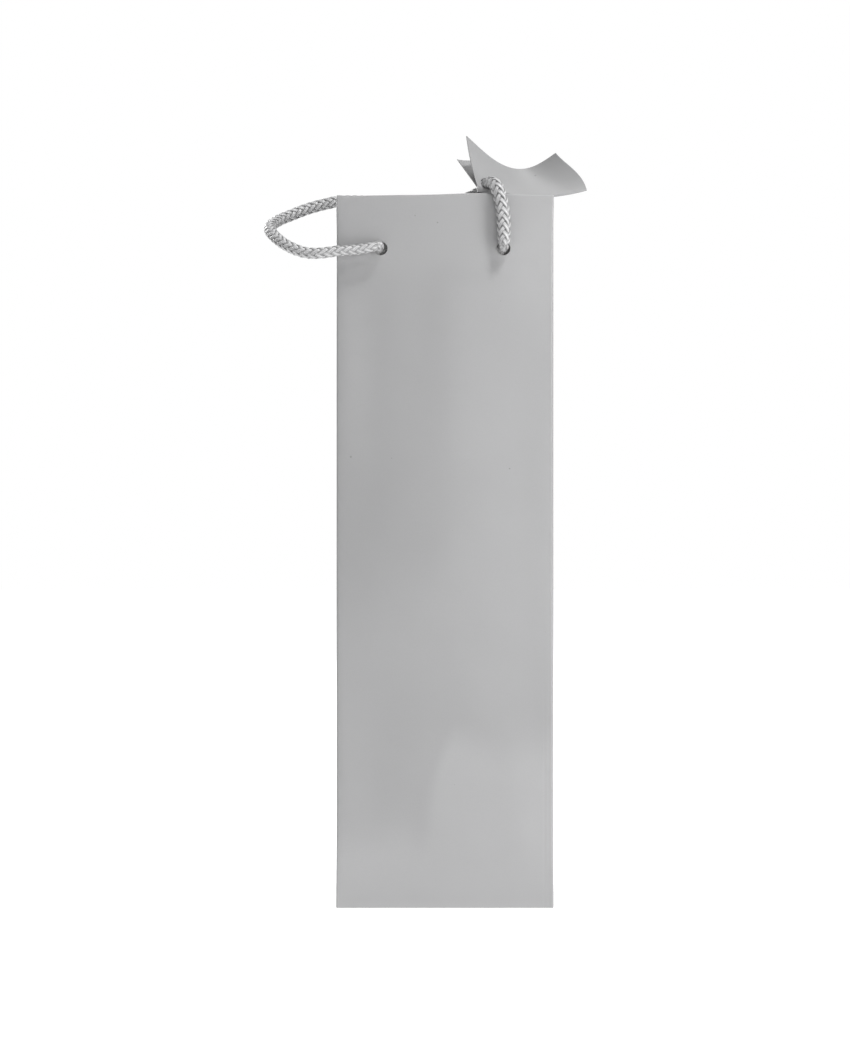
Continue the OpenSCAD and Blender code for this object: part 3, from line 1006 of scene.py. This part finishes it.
def make_stage():
    """Backlit white table under the bag."""
    material, n, shader = new_material("white_table")
    shader.inputs["Base Color"].default_value = (0.9, 0.9, 0.9, 1)
    shader.inputs["Roughness"].default_value = 0.9
    shader.inputs["Specular IOR Level"].default_value = 0.1
    shader.inputs["Emission Color"].default_value = (1, 1, 1, 1)
    seen = n.add("ShaderNodeLightPath").outputs["Is Camera Ray"]
    n.feed(shader.inputs["Emission Strength"], n.remap(seen, 0.0, 1.0, TABLE_GLOW, TABLE_SEEN))
    mesh = bmesh.new()
    bmesh.ops.create_grid(mesh, x_segments=1, y_segments=1, size=TABLE_REACH)
    floor = finish_mesh("floor", mesh, (material,))


def area_light(name, place, aim, width, height, power):
    """Soft rectangular lamp."""
    data = bpy.data.lights.new(name, "AREA")
    data.shape = "RECTANGLE"
    data.size = width
    data.size_y = height
    data.energy = power
    lamp = bpy.data.objects.new(name, data)
    lamp.location = place
    lamp.rotation_euler = (Vector(aim) - Vector(place)).to_track_quat("-Z", "Y").to_euler()
    bpy.context.scene.collection.objects.link(lamp)


def make_light():
    """White room, a high key, a softbox ahead and weaker lamps at the side, above and behind."""
    world = bpy.data.worlds.new("studio")
    bpy.context.scene.world = world
    world.use_nodes = True
    n = Nodes(world.node_tree)
    sky = world.node_tree.nodes["Background"]
    seen = n.add("ShaderNodeLightPath").outputs["Is Camera Ray"]
    n.feed(sky.inputs["Strength"], n.remap(seen, 0.0, 1.0, ROOM, ROOM_SEEN))
    sky.inputs["Color"].default_value = (1, 1, 1, 1)
    for lamp in LAMPS:
        area_light(*lamp)
    bpy.context.scene.view_settings.view_transform = "Standard"


make_camera()
GRAIN = grain_group()
BRAID = braid_tree()
# The grey paper's fold wear setting also switches on its painted light and shade
bag_paper = paper_material("coated_grey_paper", (0.275, 0.275, 0.278), 0.36, 0.035, 0.012,
                           0.05 * MM, coat=0.5, specks=0.3, fold_wear_and_painted_light=0.07)
white_inside = paper_material("white_uncoated_paper", (0.8, 0.8, 0.79), 0.8, 0.015, 0.02,
                              0.05 * MM, specks=0.1)
grey_board = paper_material("grey_board", (0.36, 0.345, 0.32), 0.85, 0.06, 0.08, 0.12 * MM,
                            specks=0.5, scales={"Grain Scale": 700.0, "Speck Scale": 260.0,
                                                "Speck Size": 0.16})
tag_card = paper_material("coated_tag_card", (0.29, 0.29, 0.293), 0.45, 0.012, 0.012,
                          0.03 * MM, coat=0.12, specks=0.25)
rope_yarn = rope_material()
tag = make_tag(tag_card)
make_ropes(rope_yarn, tag)
make_walls(bag_paper, white_inside, grey_board)
finish_cad_nodes(bag_paper, white_inside, grey_board)
make_stage()
make_light()
